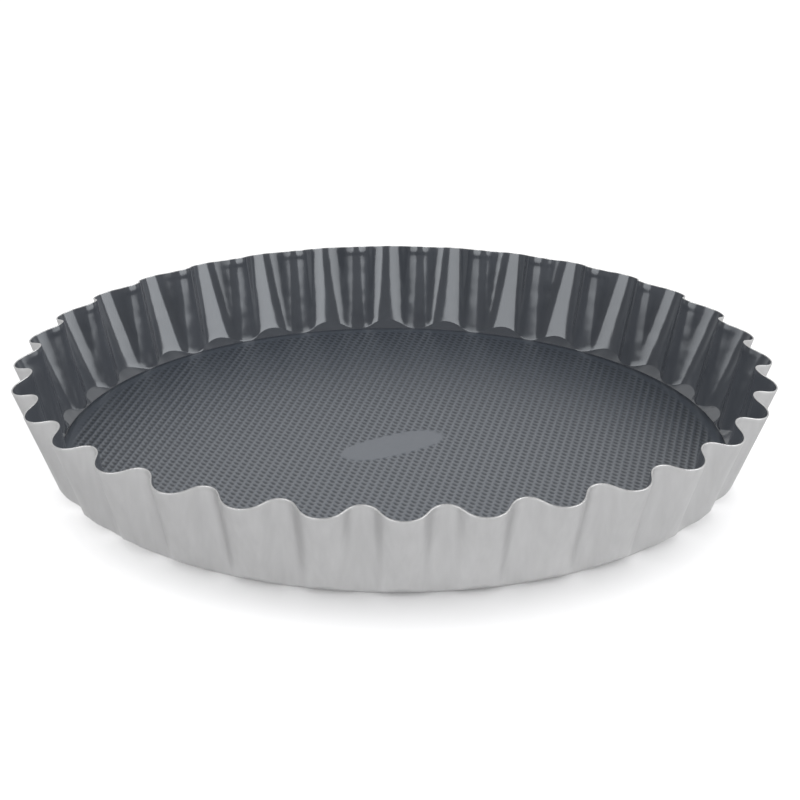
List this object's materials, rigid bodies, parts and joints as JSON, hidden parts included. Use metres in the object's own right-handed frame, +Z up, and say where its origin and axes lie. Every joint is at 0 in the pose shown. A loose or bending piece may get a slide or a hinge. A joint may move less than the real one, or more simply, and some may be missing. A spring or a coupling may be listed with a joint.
{
  "type": "cake pan",
  "caption": "Round shallow baking pan with a fluted, flared wall, an inner ledge and a loose round base that lifts out; non-stick inside, satin metal outside.",
  "frame": {"origin": "centre of the underside of the foot, on the surface that the pan stands on", "axes": "+Z up along the pan's axis; a lobe of the wall points along -Y, which is the front in the picture"},
  "size_m": [0.2804, 0.2804, 0.035],
  "materials": {
    "ring_steel": "satin sheet metal",
    "ring_coat": "glossy dark grey non-stick layer",
    "base_steel": "satin sheet metal",
    "base_coat": "dark grey non-stick layer over a finely embossed field"
  },
  "bodies": {
    "ring": {"fluted_ring": "ring_steel", "ring_lining": "ring_coat"},
    "base": {"base_plate": "base_steel", "base_lining": "base_coat"}
  },
  "joints": [
    {"name": "base_lift", "type": "slide", "parent": "ring", "child": "base", "axis": [0, 0, 1], "range_m": [0, 0.06]}
  ]
}
